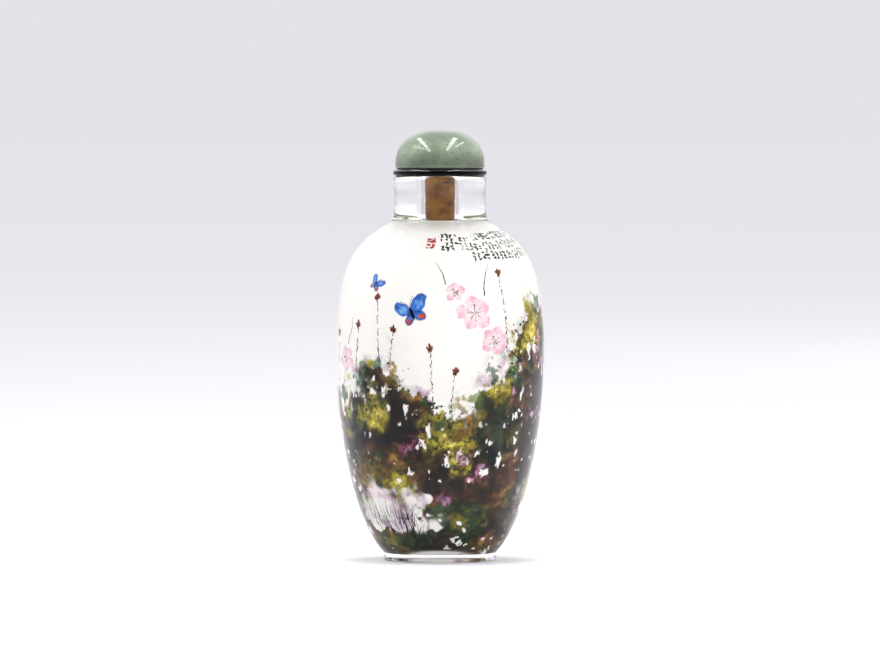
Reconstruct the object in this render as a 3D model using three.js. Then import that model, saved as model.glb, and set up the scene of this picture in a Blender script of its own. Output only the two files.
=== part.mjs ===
// Inside-painted bottle: a hollow ovoid of clear glass with a low foot ring and a waisted neck,
// closed by a stopper of three pieces glued in a stack: a cork plug, a black collar and a green stone dome.
// Millimetres, +Z up, origin at the middle of the foot ring's underside.

import * as THREE from "three";

// Driving dimensions of the outside
const OVERALL_HEIGHT = 95;
const BELLY_RADIUS = 22.95;
const BELLY_Z = 45.4;
const FOOT_RADIUS = 12.4;
const FOOT_HEIGHT = 1.75;
const SHOULDER_END_RADIUS = 12.35;
const SHOULDER_END_Z = 73.8;
const NECK_ROOT_RADIUS = 10.34;
const NECK_ROOT_Z = 75.6;
const NECK_WAIST_RADIUS = 10.1;
const NECK_WAIST_Z = 80.4;
const LIP_RADIUS = 10.3;

// Driving dimensions of the stopper
const DOME_RADIUS = 9.88;
const DOME_HEIGHT = 8.75;
const DOME_BASE_RADIUS = 9.3;
const DOME_BASE_ROUND = 0.65;
const DOME_POWER = 2.4;
const COLLAR_RADIUS = 10.35;
const COLLAR_THICKNESS = 1.45;
const COLLAR_EDGE_ROUND = 0.62;
const CORK_TOP_RADIUS = 3.4;
const CORK_END_RADIUS = 3.22;
const CORK_END_ROUND = 0.25;
const CORK_LENGTH = 10.1;
const GLUE_GAP = 0.02;

// Driving dimensions of the inside
const BORE_RADIUS = 3.55;
const WALL = 2.4;
const FLOOR_Z = 4.6;
const FLOOR_RADIUS = 7.5;
const CEILING_RADIUS = 11;
const CEILING_Z = 71.2;
const BORE_END_Z = 75.2;

// Foot ring and lip edges
const FOOT_EDGE_ROUND = 0.4;
const RECESS_RADIUS = 8.6;
const RECESS_DEPTH = 0.7;
const RECESS_SLOPE = 0.9;
const LIP_OUTER_ROUND = 0.8;
const LIP_INNER_ROUND = 0.5;

// How far the handles of the outline's curves reach
const FLANK_PULL = new THREE.Vector2(7.3, 6.87);
const BELLY_PULL_DOWN = 13.1;
const BELLY_PULL_UP = 15.2;
const SHOULDER_PULL = new THREE.Vector2(9.2, 5.15);
const FILLET_PULL = new THREE.Vector2(1.31, 0.74);
const ROOT_PULL = new THREE.Vector2(0.2, 1);
const NECK_PULL = 1.8;
const LIP_PULL = 0.5;
const CAVITY_FLANK_PULL = new THREE.Vector2(8.9, 3.2);
const CAVITY_BELLY_PULL_UP = 14.2;
const CEILING_PULL = new THREE.Vector2(8.3, 4.6);
const FLARE_PULL = new THREE.Vector2(4.15, 2.3);
const BORE_PULL = 2;

// Facets round the axis
const BOTTLE_SIDES = 40;
const STOPPER_SIDES = 40;
const CORK_SIDES = 24;

// Points along each curved stretch of a profile
const LONG_STEPS = 13;
const SHORT_STEPS = 5;
const ROUND_STEPS = 4;
const DOME_STEPS = 12;

const LIP_Z = OVERALL_HEIGHT - DOME_HEIGHT - COLLAR_THICKNESS - 2 * GLUE_GAP;
const COLLAR_Z = LIP_Z + GLUE_GAP;
const DOME_Z = COLLAR_Z + COLLAR_THICKNESS + GLUE_GAP;
const CAVITY_RADIUS = BELLY_RADIUS - WALL;
const QUARTER = Math.PI / 2;

// A profile is a list of points (radius, height); each helper adds one stretch to it.
function addPoint(profile, radius, height) {
  profile.push(new THREE.Vector2(radius, height));
}

// A cubic curve from the profile's last point to end, led by two handles.
function addCurve(profile, handleA, handleB, end, steps) {
  const curve = new THREE.CubicBezierCurve(profile.at(-1), handleA, handleB, end);
  profile.push(...curve.getPoints(steps).slice(1));
}

// A quarter circle about a centre, from one angle to another, its first point included.
function addQuarter(profile, radius, height, round, fromAngle, toAngle) {
  const clockwise = toAngle < fromAngle;
  const arc = new THREE.EllipseCurve(radius, height, round, round, fromAngle, toAngle, clockwise);
  profile.push(...arc.getPoints(ROUND_STEPS));
}

// The solid of revolution of a profile, about +Z.
function revolve(profile, sides) {
  return new THREE.LatheGeometry(profile, sides).rotateX(QUARTER);
}

// The bottle's outside, from the middle of the recess under the foot to the top of the lip.
function addOutside(profile) {
  addPoint(profile, 0, RECESS_DEPTH);
  addPoint(profile, RECESS_RADIUS - RECESS_SLOPE, RECESS_DEPTH);
  addPoint(profile, RECESS_RADIUS, 0);
  addQuarter(profile, FOOT_RADIUS - FOOT_EDGE_ROUND, FOOT_EDGE_ROUND, FOOT_EDGE_ROUND, -QUARTER, 0);
  addPoint(profile, FOOT_RADIUS, FOOT_HEIGHT);

  const belly = new THREE.Vector2(BELLY_RADIUS, BELLY_Z);
  const shoulderEnd = new THREE.Vector2(SHOULDER_END_RADIUS, SHOULDER_END_Z);
  const root = new THREE.Vector2(NECK_ROOT_RADIUS, NECK_ROOT_Z);
  const waist = new THREE.Vector2(NECK_WAIST_RADIUS, NECK_WAIST_Z);
  const lip = new THREE.Vector2(LIP_RADIUS, LIP_Z - LIP_OUTER_ROUND);
  addCurve(
    profile,
    new THREE.Vector2(FOOT_RADIUS, FOOT_HEIGHT).add(FLANK_PULL),
    new THREE.Vector2(BELLY_RADIUS, BELLY_Z - BELLY_PULL_DOWN),
    belly,
    LONG_STEPS,
  );
  addCurve(
    profile,
    new THREE.Vector2(BELLY_RADIUS, BELLY_Z + BELLY_PULL_UP),
    new THREE.Vector2(SHOULDER_END_RADIUS + SHOULDER_PULL.x, SHOULDER_END_Z - SHOULDER_PULL.y),
    shoulderEnd,
    LONG_STEPS,
  );
  addCurve(
    profile,
    new THREE.Vector2(SHOULDER_END_RADIUS - FILLET_PULL.x, SHOULDER_END_Z + FILLET_PULL.y),
    new THREE.Vector2(NECK_ROOT_RADIUS + ROOT_PULL.x, NECK_ROOT_Z - ROOT_PULL.y),
    root,
    SHORT_STEPS,
  );
  addCurve(
    profile,
    new THREE.Vector2(NECK_ROOT_RADIUS - ROOT_PULL.x, NECK_ROOT_Z + ROOT_PULL.y),
    new THREE.Vector2(NECK_WAIST_RADIUS, NECK_WAIST_Z - NECK_PULL),
    waist,
    SHORT_STEPS,
  );
  addCurve(
    profile,
    new THREE.Vector2(NECK_WAIST_RADIUS, NECK_WAIST_Z + NECK_PULL),
    new THREE.Vector2(LIP_RADIUS, LIP_Z - LIP_OUTER_ROUND - LIP_PULL),
    lip,
    SHORT_STEPS,
  );
  profile.pop();
  addQuarter(profile, LIP_RADIUS - LIP_OUTER_ROUND, LIP_Z - LIP_OUTER_ROUND, LIP_OUTER_ROUND, 0, QUARTER);
}

// The bottle's inside, from the mouth down the bore and the cavity to the middle of the floor.
function addInside(profile) {
  addQuarter(
    profile,
    BORE_RADIUS + LIP_INNER_ROUND,
    LIP_Z - LIP_INNER_ROUND,
    LIP_INNER_ROUND,
    QUARTER,
    2 * QUARTER,
  );
  addPoint(profile, BORE_RADIUS, BORE_END_Z);
  addCurve(
    profile,
    new THREE.Vector2(BORE_RADIUS, BORE_END_Z - BORE_PULL),
    new THREE.Vector2(CEILING_RADIUS - FLARE_PULL.x, CEILING_Z + FLARE_PULL.y),
    new THREE.Vector2(CEILING_RADIUS, CEILING_Z),
    SHORT_STEPS,
  );
  addCurve(
    profile,
    new THREE.Vector2(CEILING_RADIUS + CEILING_PULL.x, CEILING_Z - CEILING_PULL.y),
    new THREE.Vector2(CAVITY_RADIUS, BELLY_Z + CAVITY_BELLY_PULL_UP),
    new THREE.Vector2(CAVITY_RADIUS, BELLY_Z),
    LONG_STEPS,
  );
  addCurve(
    profile,
    new THREE.Vector2(CAVITY_RADIUS, BELLY_Z - BELLY_PULL_DOWN),
    new THREE.Vector2(FLOOR_RADIUS + CAVITY_FLANK_PULL.x, FLOOR_Z + CAVITY_FLANK_PULL.y),
    new THREE.Vector2(FLOOR_RADIUS, FLOOR_Z),
    LONG_STEPS,
  );
  addPoint(profile, 0, FLOOR_Z);
}

function bottleGeometry() {
  const profile = [];
  addOutside(profile);
  addInside(profile);
  return revolve(profile, BOTTLE_SIDES);
}

// A plug that tapers towards its rounded lower end and fills the bore.
function corkGeometry() {
  const endZ = LIP_Z - CORK_LENGTH;
  const profile = [];
  addPoint(profile, 0, endZ);
  addQuarter(profile, CORK_END_RADIUS - CORK_END_ROUND, endZ + CORK_END_ROUND, CORK_END_ROUND, -QUARTER, 0);
  addPoint(profile, CORK_TOP_RADIUS, LIP_Z);
  addPoint(profile, 0, LIP_Z);
  return revolve(profile, CORK_SIDES);
}

// A disc with a rounded rim, a little wider than the lip that it rests on.
function collarGeometry() {
  const rimRadius = COLLAR_RADIUS - COLLAR_EDGE_ROUND;
  const topZ = COLLAR_Z + COLLAR_THICKNESS;
  const profile = [];
  addPoint(profile, 0, COLLAR_Z);
  addQuarter(profile, rimRadius, COLLAR_Z + COLLAR_EDGE_ROUND, COLLAR_EDGE_ROUND, -QUARTER, 0);
  addQuarter(profile, rimRadius, topZ - COLLAR_EDGE_ROUND, COLLAR_EDGE_ROUND, 0, QUARTER);
  addPoint(profile, 0, topZ);
  return revolve(profile, STOPPER_SIDES);
}

// A cabochon: a flat base with a softened edge under a superellipse dome.
function domeGeometry() {
  const springZ = DOME_Z + DOME_BASE_ROUND;
  const rise = DOME_HEIGHT - DOME_BASE_ROUND;
  const profile = [];
  addPoint(profile, 0, DOME_Z);
  addPoint(profile, DOME_BASE_RADIUS, DOME_Z);
  for (let step = 0; step <= DOME_STEPS; step++) {
    const angle = (QUARTER * step) / DOME_STEPS;
    const across = Math.cos(angle) ** (2 / DOME_POWER);
    const up = Math.sin(angle) ** (2 / DOME_POWER);
    addPoint(profile, step === DOME_STEPS ? 0 : DOME_RADIUS * across, springZ + rise * up);
  }
  return revolve(profile, STOPPER_SIDES);
}

const glass = new THREE.MeshStandardMaterial({
  color: 0xeef1f0,
  roughness: 0.02,
  metalness: 0,
  transparent: true,
  opacity: 0.35,
});
const corkBark = new THREE.MeshStandardMaterial({ color: 0x8a6236, roughness: 0.85, metalness: 0 });
const blackCollar = new THREE.MeshStandardMaterial({ color: 0x14141a, roughness: 0.2, metalness: 0 });
const greenStone = new THREE.MeshStandardMaterial({ color: 0x8fa68f, roughness: 0.12, metalness: 0 });

function piece(name, geometry, material) {
  const mesh = new THREE.Mesh(geometry, material);
  mesh.name = name;
  return mesh;
}

const insidePaintedBottle = new THREE.Group();
const stopper = new THREE.Group();
stopper.add(
  piece("stopper_cork", corkGeometry(), corkBark),
  piece("stopper_collar", collarGeometry(), blackCollar),
  piece("stopper_dome", domeGeometry(), greenStone),
);
insidePaintedBottle.add(piece("bottle", bottleGeometry(), glass), stopper);

export default insidePaintedBottle;
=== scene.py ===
"""Looks of the inside-painted bottle: clear glass, the painting on its inner wall, stopper and studio.

Sizes in the classes are millimetres unless a name says otherwise. Meshes are written in metres, in the
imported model's own frame. The side that the photograph shows faces -Y, and azimuth is counted from there,
positive to the right.
"""

import logging
import math
from dataclasses import dataclass
from enum import Enum
from itertools import product
from typing import Any, Sequence

import bpy
import numpy as np
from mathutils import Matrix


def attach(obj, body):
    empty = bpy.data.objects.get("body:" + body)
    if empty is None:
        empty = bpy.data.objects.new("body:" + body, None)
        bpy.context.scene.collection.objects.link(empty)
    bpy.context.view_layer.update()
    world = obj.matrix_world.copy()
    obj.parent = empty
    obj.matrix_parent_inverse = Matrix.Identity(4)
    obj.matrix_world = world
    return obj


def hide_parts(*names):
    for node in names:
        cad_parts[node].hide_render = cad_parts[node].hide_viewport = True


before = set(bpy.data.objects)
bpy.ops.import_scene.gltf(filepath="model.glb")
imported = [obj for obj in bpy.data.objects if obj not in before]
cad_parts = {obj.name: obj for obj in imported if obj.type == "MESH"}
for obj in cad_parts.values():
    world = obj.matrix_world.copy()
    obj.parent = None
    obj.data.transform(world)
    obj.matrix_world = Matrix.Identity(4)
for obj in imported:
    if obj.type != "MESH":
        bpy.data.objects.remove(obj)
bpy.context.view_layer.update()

LOG = logging.getLogger("inside_painted_bottle")
MM = 0.001
BODY = "root"
SHARP_ANGLE = math.radians(38)

Array = np.ndarray
Point = tuple[float, float]
Colour = tuple[float, float, float]
Row = tuple[float, ...]


def ease(low: float | Array, high: float | Array, values: Array) -> Array:
    """Rise smoothly from 0 at low to 1 at high: 3 t t - 2 t t t of the clipped share t.

    Args:
        low: Where the rise starts.
        high: Where the rise ends.
        values: The numbers to ease.

    Returns:
        Numbers from 0 to 1.
    """
    share = np.clip((values - low) / (high - low), 0.0, 1.0)
    return share * share * (3.0 - 2.0 * share)


def linear(colour: Array) -> Array:
    """Turn sRGB parts from 0 to 1 into the linear parts that a shader takes.

    Args:
        colour: sRGB parts, in any shape.

    Returns:
        Linear parts in the same shape.
    """
    colour = np.asarray(colour, float)
    return np.where(colour <= 0.04045, colour / 12.92, ((colour + 0.055) / 1.055) ** 2.4)


def shade(red: float, green: float, blue: float) -> Colour:
    """Linear colour of an sRGB one whose parts run from 0 to 255."""
    return tuple(float(part) for part in linear(np.array([red, green, blue]) / 255.0))


def bezier(start: Point, lead: Point, trail: Point, end: Point, count: int) -> Array:
    """Points along a cubic curve: the four points, each times its Bernstein weight.

    Args:
        start: First point.
        lead: Handle that the curve leaves towards.
        trail: Handle that the curve arrives from.
        end: Last point.
        count: Number of points, both ends included.

    Returns:
        The points, one row each.
    """
    share = np.linspace(0.0, 1.0, count)[:, None]
    back = 1.0 - share
    corners = np.array([start, lead, trail, end], float)
    weights = np.hstack([back**3, 3 * back**2 * share, 3 * back * share**2, share**3])
    return weights @ corners


def arc(centre: Point, radius: float, first_deg: float, last_deg: float, count: int) -> Array:
    """Points along a circular arc: the centre plus the radius times (cos, sin) of the angle.

    Args:
        centre: Middle of the circle.
        radius: Its radius.
        first_deg: Angle of the first point, from the outward direction.
        last_deg: Angle of the last point.
        count: Number of points, both ends included.

    Returns:
        The points, one row each.
    """
    angle = np.radians(np.linspace(first_deg, last_deg, count))
    return np.array(centre) + radius * np.column_stack([np.cos(angle), np.sin(angle)])


class Noise:
    """Smooth random numbers in space that are the same at each run."""

    SIDE = 64

    def __init__(self, seed: int) -> None:
        """Draw the numbers of a cubic lattice that repeats in all directions."""
        self._lattice = np.random.default_rng(seed).uniform(-1.0, 1.0, self.SIDE**3).astype(np.float32)

    def smooth(self, points: Array, cell: float) -> Array:
        """Lattice noise: the eight corners round each point, blended by an ease along each axis.

        Args:
            points: Places in space, one row each.
            cell: Size of a lattice cell.

        Returns:
            Numbers from -1 to 1, most of them between -0.4 and 0.4.
        """
        scaled = (points / cell).T
        base = np.floor(scaled)
        inside = scaled - base
        blend = inside**3 * (inside * (inside * 6.0 - 15.0) + 10.0)
        steps = np.array([[self.SIDE**2], [self.SIDE], [1]])
        near = (base.astype(np.int64) % self.SIDE) * steps
        far = ((base.astype(np.int64) + 1) % self.SIDE) * steps
        total = 0.0
        for corner in product((0, 1), repeat=3):
            ends = [(far if up else near)[axis] for axis, up in enumerate(corner)]
            weights = [blend[axis] if up else 1.0 - blend[axis] for axis, up in enumerate(corner)]
            height = self._lattice[ends[0] + ends[1] + ends[2]]
            total = total + height * weights[0] * weights[1] * weights[2]
        return total

    def cloud(self, points: Array, cell: float, octaves: int = 4) -> Array:
        """Layers of smooth noise, each at half the cell and half the height of the one before.

        Args:
            points: Places in space, one row each.
            cell: Size of the largest cell.
            octaves: Number of layers.

        Returns:
            Numbers of about -1 to 1.
        """
        layers = [self.smooth(points + 17.3 * k, cell / 2**k) / 2**k for k in range(octaves)]
        return np.sum(layers, axis=0)


@dataclass
class Surface:
    """A mesh in the making: points in millimetres, and faces as rows of point numbers."""

    points: Array
    quads: Array
    triangles: Array

    def thing(self, name: str, material: bpy.types.Material) -> bpy.types.Object:
        """Write the surface into a mesh object at the origin.

        Args:
            name: The object's name.
            material: Its finish.

        Returns:
            The new object.
        """
        mesh = bpy.data.meshes.new(name)
        faces = self.quads.tolist() + self.triangles.tolist()
        mesh.from_pydata((self.points * MM).tolist(), [], faces)
        mesh.materials.append(material)
        thing = bpy.data.objects.new(name, mesh)
        bpy.context.scene.collection.objects.link(thing)
        return thing

    def piece(self, name: str, material: bpy.types.Material, slot: str) -> bpy.types.Object:
        """Write the surface into a smooth mesh object that rides on the bottle.

        Args:
            name: The piece's name.
            material: Its finish.
            slot: The record's material slot; not used.

        Returns:
            The new object.
        """
        piece = self.thing(name, material)
        mesh = piece.data
        mesh.polygons.foreach_set("use_smooth", np.ones(len(mesh.polygons), bool))
        mesh.set_sharp_from_angle(angle=SHARP_ANGLE)
        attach(piece, BODY)
        LOG.info("%s: %d points, %d faces", name, len(mesh.vertices), len(mesh.polygons))
        return piece


def lathe(profile: Array, azimuth: Array, closed: bool) -> Surface:
    """Carry a profile round the axis: x = r sin(azimuth), y = -r cos(azimuth), z as it is.

    A profile point on the axis becomes one pole that its neighbours meet in triangles.

    Args:
        profile: (radius, height) points, with the solid on the left of the way along it.
        azimuth: Angles of the columns, in radians.
        closed: Whether the last column joins the first.

    Returns:
        The surface, its faces pointing away from the solid.
    """
    radius, height = profile.T
    grid = np.stack(
        [
            radius[:, None] * np.sin(azimuth),
            -radius[:, None] * np.cos(azimuth),
            np.broadcast_to(height[:, None], (len(height), len(azimuth))),
        ],
        axis=-1,
    )
    number = np.arange(grid[..., 0].size).reshape(grid.shape[:2])
    number[radius < 1e-6] = number[radius < 1e-6, :1]
    if closed:
        number = np.hstack([number, number[:, :1]])
    corners = [number[:-1, :-1], number[:-1, 1:], number[1:, 1:], number[1:, :-1]]
    faces = np.stack(corners, axis=-1).reshape(-1, 4)
    low_pole = faces[:, 0] == faces[:, 1]
    high_pole = faces[:, 2] == faces[:, 3]
    used, compact = np.unique(faces, return_inverse=True)
    faces = compact.reshape(faces.shape)
    triangles = np.vstack([faces[low_pole][:, 1:], faces[high_pole][:, :3]])
    return Surface(grid.reshape(-1, 3)[used], faces[~(low_pole | high_pole)], triangles)


def shift(point: Point, right: float, up: float) -> Point:
    """The point moved right and up."""
    return (point[0] + right, point[1] + up)


def full_turn(columns: int) -> Array:
    """Angles of evenly spaced columns all the way round."""
    return np.linspace(-math.pi, math.pi, columns, endpoint=False)


class Value:
    """A number in a shader. Arithmetic on it adds Math nodes."""

    def __init__(self, shader: "Shader", socket: bpy.types.NodeSocket) -> None:
        """Wrap an output socket of the shader."""
        self.shader = shader
        self.socket = socket

    def _math(self, operation: str, *values: "Value | float") -> "Value":
        """Add one Math node and wrap its output."""
        node = self.shader.node("ShaderNodeMath", {"operation": operation}, dict(enumerate(values)))
        return Value(self.shader, node.outputs[0])

    def __add__(self, other: "Value | float") -> "Value":
        """Sum."""
        return self._math("ADD", self, other)

    def __radd__(self, other: float) -> "Value":
        """Sum, with the number first."""
        return self._math("ADD", other, self)

    def __sub__(self, other: "Value | float") -> "Value":
        """Difference."""
        return self._math("SUBTRACT", self, other)

    def __rsub__(self, other: float) -> "Value":
        """Difference from a number."""
        return self._math("SUBTRACT", other, self)

    def __mul__(self, other: "Value | float") -> "Value":
        """Product."""
        return self._math("MULTIPLY", self, other)

    def __rmul__(self, other: float) -> "Value":
        """Product, with the number first."""
        return self._math("MULTIPLY", other, self)

    def eased(self, low: float, high: float) -> "Value":
        """Rise smoothly from 0 at low to 1 at high."""
        settings = {"interpolation_type": "SMOOTHSTEP"}
        sockets = {"Value": self, "From Min": low, "From Max": high}
        return Value(self.shader, self.shader.node("ShaderNodeMapRange", settings, sockets).outputs[0])


class Shader:
    """The node tree of a material or a world, with one method that makes any node."""

    def __init__(self, owner: bpy.types.Material | bpy.types.World) -> None:
        """Empty the owner's tree."""
        self.owner = owner
        owner.use_nodes = True
        self.tree = owner.node_tree
        self.tree.nodes.clear()

    def node(
        self,
        kind: str,
        settings: dict[str, Any] | None = None,
        sockets: dict[str | int, Any] | None = None,
    ) -> bpy.types.Node:
        """Add a node, set it up and feed its sockets.

        Args:
            kind: Blender's name of the node type.
            settings: Properties that are set first.
            sockets: Values, sockets or wrapped values for its inputs, by name or number.

        Returns:
            The new node.
        """
        node = self.tree.nodes.new(kind)
        for key, setting in (settings or {}).items():
            setattr(node, key, setting)
        for key, value in (sockets or {}).items():
            self._feed(node.inputs[key], value)
        return node

    def _feed(self, socket: bpy.types.NodeSocket, value: Any) -> None:
        """Link a socket or wrapped value into an input, or set a plain one on it."""
        if isinstance(value, Value):
            value = value.socket
        if isinstance(value, bpy.types.NodeSocket):
            self.tree.links.new(value, socket)
        elif isinstance(value, tuple) and len(value) == 3 and socket.type == "RGBA":
            socket.default_value = (*value, 1.0)
        else:
            socket.default_value = value

    def place(self, scale: tuple[float, float, float] = (1.0, 1.0, 1.0)) -> bpy.types.NodeSocket:
        """Object coordinates, stretched along the three axes.

        Args:
            scale: Factor along each axis.

        Returns:
            The vector socket.
        """
        coordinates = self.node("ShaderNodeTexCoord").outputs["Object"]
        return self.node("ShaderNodeMapping", {}, {"Vector": coordinates, "Scale": scale}).outputs[0]

    def height(self, place: bpy.types.NodeSocket) -> Value:
        """Height of a place, in metres."""
        return Value(self, self.node("ShaderNodeSeparateXYZ", {}, {0: place}).outputs["Z"])

    def noise(
        self, place: bpy.types.NodeSocket, size_mm: float, detail: float = 3.0, rough: float = 0.55
    ) -> Value:
        """Noise from 0 to 1 whose features have the given size.

        Args:
            place: Coordinates in metres.
            size_mm: Size of a feature.
            detail: Number of finer layers.
            rough: Weight of the finer layers.

        Returns:
            The noise.
        """
        sockets = {"Vector": place, "Scale": 1.0 / (size_mm * MM), "Detail": detail, "Roughness": rough}
        return Value(self, self.node("ShaderNodeTexNoise", {}, sockets).outputs[0])

    def spots(self, place: bpy.types.NodeSocket, size_mm: float) -> Value:
        """Distance to the nearest of scattered points, in cells of the given size."""
        sockets = {"Vector": place, "Scale": 1.0 / (size_mm * MM)}
        return Value(self, self.node("ShaderNodeTexVoronoi", {}, sockets).outputs["Distance"])

    def attribute(self, name: str, output: str) -> bpy.types.NodeSocket:
        """An attribute of the mesh, as Color or Fac."""
        return self.node("ShaderNodeAttribute", {"attribute_name": name}).outputs[output]

    def mix(
        self, factor: Value | float, first: Any, second: Any, blend: str = "MIX"
    ) -> bpy.types.NodeSocket:
        """Mix two colours.

        Args:
            factor: Share of the second colour.
            first: Colour or socket under it.
            second: Colour or socket over it.
            blend: How the second is laid on the first.

        Returns:
            The colour socket.
        """
        settings = {"data_type": "RGBA", "blend_type": blend}
        return self.node("ShaderNodeMix", settings, {0: factor, 6: first, 7: second}).outputs[2]

    def grey(self, value: Value) -> bpy.types.NodeSocket:
        """A grey colour of the given value."""
        return self.node("ShaderNodeCombineColor", {}, {0: value, 1: value, 2: value}).outputs[0]

    def bump(self, height: Value, depth_mm: float) -> bpy.types.NodeSocket:
        """Normal of a surface raised by a height of 0 to 1 times the depth."""
        sockets = {"Strength": 1.0, "Distance": depth_mm * MM, "Height": height}
        return self.node("ShaderNodeBump", {}, sockets).outputs[0]

    def finish(self, sockets: dict[str, Any]) -> bpy.types.Material:
        """Close the tree with a Principled surface.

        Args:
            sockets: Values and links of the surface's inputs.

        Returns:
            The material.
        """
        surface = self.node("ShaderNodeBsdfPrincipled", {}, sockets)
        self.node("ShaderNodeOutputMaterial", {}, {"Surface": surface.outputs[0]})
        return self.owner


@dataclass(frozen=True)
class ClearGlass:
    """Polished clear glass with the faintest ripple of hand grinding."""

    ior: float = 1.5
    gleam: float = 0.45
    ripple_size: float = 3.0
    ripple_depth: float = 0.0015

    def material(self) -> bpy.types.Material:
        """Make the material."""
        shader = Shader(bpy.data.materials.new("clear_glass"))
        ripple = shader.noise(shader.place((1.0, 1.0, 0.4)), self.ripple_size, 2.0)
        return shader.finish(
            {
                "Base Color": (1.0, 1.0, 1.0),
                "Roughness": 0.0,
                "IOR": self.ior,
                "Transmission Weight": 1.0,
                "Specular Tint": (self.gleam, self.gleam, self.gleam),
                "Normal": shader.bump(ripple, self.ripple_depth),
            }
        )


@dataclass(frozen=True)
class PaintedFilm:
    """Matt paint on the inner wall: the brush's colour, broken by the grain of the ground glass."""

    grain_size: float = 0.35
    grain: float = 0.6

    def material(self) -> bpy.types.Material:
        """Make the material."""
        shader = Shader(bpy.data.materials.new("painted_film"))
        place = shader.place()
        wash = Value(shader, shader.attribute("wash", "Fac"))
        grain = shader.noise(place, self.grain_size, 4.0, 0.7)
        tone = 1.0 + (grain - 0.5) * wash * self.grain
        colour = shader.mix(1.0, shader.attribute("paint", "Color"), shader.grey(tone), "MULTIPLY")
        return shader.finish({"Base Color": colour, "Roughness": 0.7, "Specular IOR Level": 0.0})


@dataclass(frozen=True)
class GreenStone:
    """Polished pale green stone: clouds of two greens, dark grains, fine pale flecks and painted shade."""

    pale: Colour = shade(150, 165, 141)
    middle: Colour = shade(124, 139, 115)
    dark: Colour = shade(58, 74, 54)
    fleck: Colour = shade(172, 184, 166)
    cloud_size: float = 4.5
    grain_size: float = 0.55
    fleck_size: float = 0.5
    haze_size: float = 1.2
    seat_z: float = 0.0863
    rim_z: float = 0.0869
    waist_z: float = 0.0915
    top_z: float = 0.0945

    def material(self) -> bpy.types.Material:
        """Make the material."""
        shader = Shader(bpy.data.materials.new("green_stone"))
        place = shader.place()
        clouds = shader.noise(place, self.cloud_size, 5.0).eased(0.36, 0.66)
        grains = shader.noise(place, self.grain_size, 3.0, 0.6).eased(0.54, 0.72)
        flecks = 1.0 - shader.spots(place, self.fleck_size).eased(0.1, 0.24)
        colour = shader.mix(clouds, self.middle, self.pale)
        colour = shader.mix(grains * 0.55, colour, self.dark)
        colour = shader.mix(flecks * 0.35, colour, self.fleck)
        # Painted shade: the colour is darker from the waist down and a little darker at the top, and a
        # painted shadow band darkens it where the dome sits on the collar.
        height = shader.height(place)
        tone = 0.5 + 0.5 * height.eased(self.rim_z, self.waist_z)
        tone = tone - 0.25 * height.eased(self.waist_z, self.top_z)
        tone = tone * (0.25 + 0.75 * height.eased(self.seat_z, self.rim_z))
        colour = shader.mix(1.0, colour, shader.grey(tone), "MULTIPLY")
        rough = 0.07 + 0.08 * shader.noise(place, self.haze_size)
        return shader.finish({"Base Color": colour, "Roughness": rough, "IOR": 1.55})


@dataclass(frozen=True)
class BlackCollar:
    """Black with a faint haze of handling, polished along its upper edge."""

    edge_z: float = 0.0858
    black: Colour = shade(4, 4, 4)
    worn: Colour = shade(14, 14, 15)
    haze_size: float = 2.0

    def material(self) -> bpy.types.Material:
        """Make the material."""
        shader = Shader(bpy.data.materials.new("black_collar"))
        place = shader.place()
        haze = shader.noise(place, self.haze_size, 4.0)
        colour = shader.mix(haze.eased(0.5, 0.8), self.black, self.worn)
        rough = 0.06 + 0.06 * haze
        polish = shader.height(place).eased(self.edge_z - 0.0002, self.edge_z + 0.0001)
        return shader.finish(
            {
                "Base Color": colour,
                "Roughness": rough,
                "Specular IOR Level": 0.08,
                "Coat Weight": polish,
                "Coat Roughness": 0.06,
            }
        )


@dataclass(frozen=True)
class CorkBark:
    """Natural cork: brown clouds in flat layers, dark pores and pale dusty grains."""

    brown: Colour = shade(170, 112, 38)
    dark: Colour = shade(118, 72, 14)
    pore: Colour = shade(44, 22, 6)
    dust: Colour = shade(206, 158, 84)
    layer_size: float = 4.2
    grain_size: float = 0.4
    pore_size: float = 2.6
    pore_depth: float = 0.08

    def material(self) -> bpy.types.Material:
        """Make the material."""
        shader = Shader(bpy.data.materials.new("cork_bark"))
        layers = shader.noise(shader.place((1.0, 1.0, 1.5)), self.layer_size, 2.0).eased(0.32, 0.66)
        grains = shader.noise(shader.place(), self.grain_size, 3.0).eased(0.5, 0.75)
        pores = shader.noise(shader.place((1.0, 1.0, 4.0)), self.pore_size, 3.0).eased(0.63, 0.71)
        colour = shader.mix(layers, self.brown, self.dark)
        colour = shader.mix(grains * 0.3, colour, self.dust)
        colour = shader.mix(pores, colour, self.pore)
        height = grains * 0.4 - pores
        normal = shader.bump(height, self.pore_depth)
        return shader.finish({"Base Color": colour, "Roughness": 0.85, "Normal": normal})


@dataclass(frozen=True)
class PaleFloor:
    """Plain matt white board."""

    white: Colour = (0.575, 0.57, 0.598)
    grey: Colour = (0.56, 0.555, 0.583)
    mottle_size: float = 900.0

    def material(self) -> bpy.types.Material:
        """Make the material."""
        shader = Shader(bpy.data.materials.new("pale_floor"))
        mottle = shader.noise(shader.place(), self.mottle_size, 2.0)
        colour = shader.mix(mottle, self.white, self.grey)
        return shader.finish({"Base Color": colour, "Roughness": 0.9, "Specular IOR Level": 0.0})


@dataclass(frozen=True)
class GreyCard:
    """Matt grey card with a faint mottle."""

    light: Colour = (0.6, 0.6, 0.61)
    dark: Colour = (0.54, 0.54, 0.55)
    mottle_size: float = 200.0

    def material(self) -> bpy.types.Material:
        """Make the material."""
        shader = Shader(bpy.data.materials.new("grey_card"))
        mottle = shader.noise(shader.place(), self.mottle_size, 2.0)
        colour = shader.mix(mottle, self.light, self.dark)
        return shader.finish({"Base Color": colour, "Roughness": 0.9, "Specular IOR Level": 0.0})


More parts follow.
